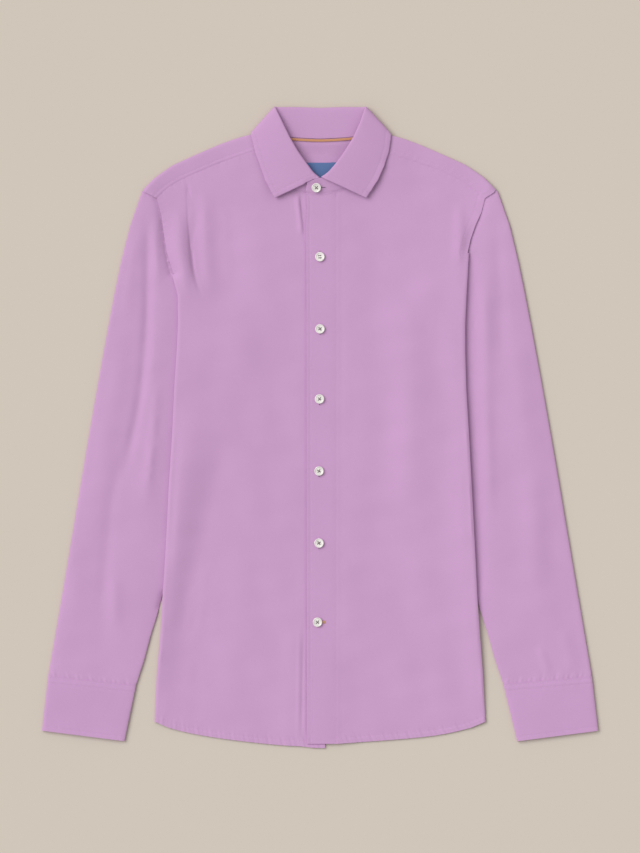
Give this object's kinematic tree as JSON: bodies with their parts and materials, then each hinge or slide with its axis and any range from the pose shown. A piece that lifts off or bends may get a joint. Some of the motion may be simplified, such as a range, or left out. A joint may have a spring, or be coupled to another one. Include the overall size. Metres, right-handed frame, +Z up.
{
  "type": "long-sleeve polo shirt",
  "caption": "Long-sleeve knitted shirt with a polo collar and a full-length button front, buttoned up and laid flat with its face up.",
  "frame": {"origin": "on the surface that the shirt lies on, below the middle of its outline", "axes": "+Y from the hem to the collar, +X to the wearer's left, +Z up from the surface"},
  "size_m": [0.6671, 0.7696, 0.0144],
  "materials": {
    "shirt_cloth": "lilac cotton knit, matt with a fine fuzz",
    "collar_cloth": "the same cloth doubled and stitched",
    "neck_tape": "tan herringbone tape",
    "woven_label": "plain blue woven label",
    "button_pearl": "white pearl"
  },
  "bodies": {
    "root": {"back": "shirt_cloth", "yoke": "shirt_cloth", "front_left": "shirt_cloth", "front_right": "shirt_cloth", "placket": "collar_cloth", "sleeve_left": "shirt_cloth", "sleeve_right": "shirt_cloth", "cuff_left": "collar_cloth", "cuff_right": "collar_cloth", "collar_stand": "collar_cloth", "collar": "collar_cloth", "neck_tape": "neck_tape", "label": "woven_label", "button_1": "button_pearl", "button_2": "button_pearl", "button_3": "button_pearl", "button_4": "button_pearl", "button_5": "button_pearl", "button_6": "button_pearl", "button_7": "button_pearl"}
  },
  "joints": []
}
